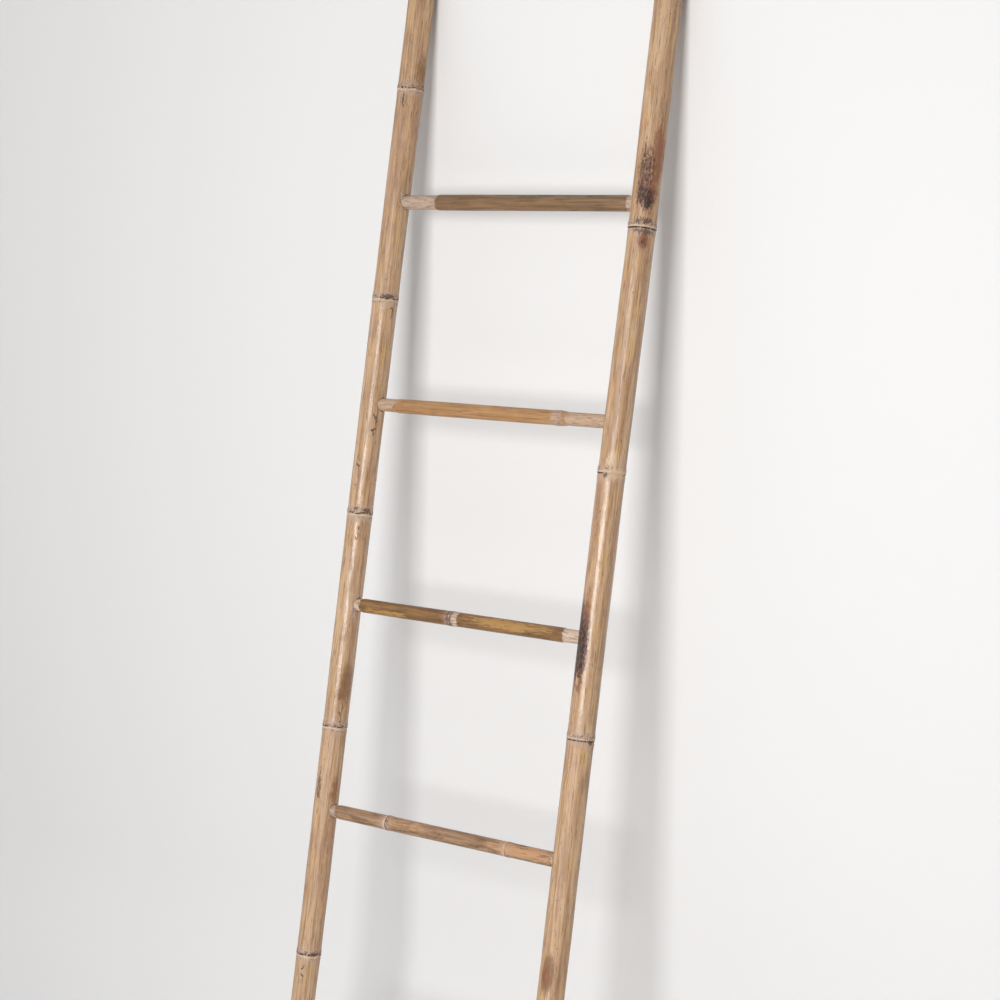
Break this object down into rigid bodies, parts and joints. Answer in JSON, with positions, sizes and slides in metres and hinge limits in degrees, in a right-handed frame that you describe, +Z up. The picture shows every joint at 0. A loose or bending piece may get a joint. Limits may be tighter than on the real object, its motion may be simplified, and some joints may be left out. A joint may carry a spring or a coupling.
{
  "type": "ladder rack",
  "caption": "Leaning ladder rack of bamboo culms: two uprights joined by pegged cross rungs, for hanging quilts, blankets or towels.",
  "frame": {"origin": "on the floor, below the middle of the rack's bounding box, as it stands leaning back by 12 degrees", "axes": "+X along the rungs to the right as seen from the front, +Y towards the wall it leans on, +Z up"},
  "size_m": [0.5044, 0.4574, 1.9607],
  "materials": {
    "left_rail_bamboo": "satin varnished dried bamboo culm, warm tan, with dark flecks and node rings",
    "right_rail_bamboo": "satin varnished dried bamboo culm, warm tan, with dark scorch marks and node rings",
    "rung_1_bottom_bamboo": "varnished thin bamboo culm, mid brown",
    "rung_2_bamboo": "varnished thin bamboo culm, mottled brown with pale node rings",
    "rung_3_bamboo": "varnished thin bamboo culm, dark brown with yellow patches",
    "rung_4_bamboo": "varnished thin bamboo culm, golden brown, pale shaved ends",
    "rung_5_top_bamboo": "varnished thin bamboo culm, brown and olive, pale shaved left end",
    "peg_bamboo": "bare split bamboo, pale, with visible end grain"
  },
  "bodies": {
    "root": {"left_rail": "left_rail_bamboo", "right_rail": "right_rail_bamboo", "rung_1_bottom": "rung_1_bottom_bamboo", "rung_2": "rung_2_bamboo", "rung_3": "rung_3_bamboo", "rung_4": "rung_4_bamboo", "rung_5_top": "rung_5_top_bamboo", "rung_1_left_peg": "peg_bamboo", "rung_1_right_peg": "peg_bamboo", "rung_2_left_peg": "peg_bamboo", "rung_2_right_peg": "peg_bamboo", "rung_3_left_peg": "peg_bamboo", "rung_3_right_peg": "peg_bamboo", "rung_4_left_peg": "peg_bamboo", "rung_4_right_peg": "peg_bamboo", "rung_5_left_peg": "peg_bamboo", "rung_5_right_peg": "peg_bamboo"}
  },
  "joints": []
}
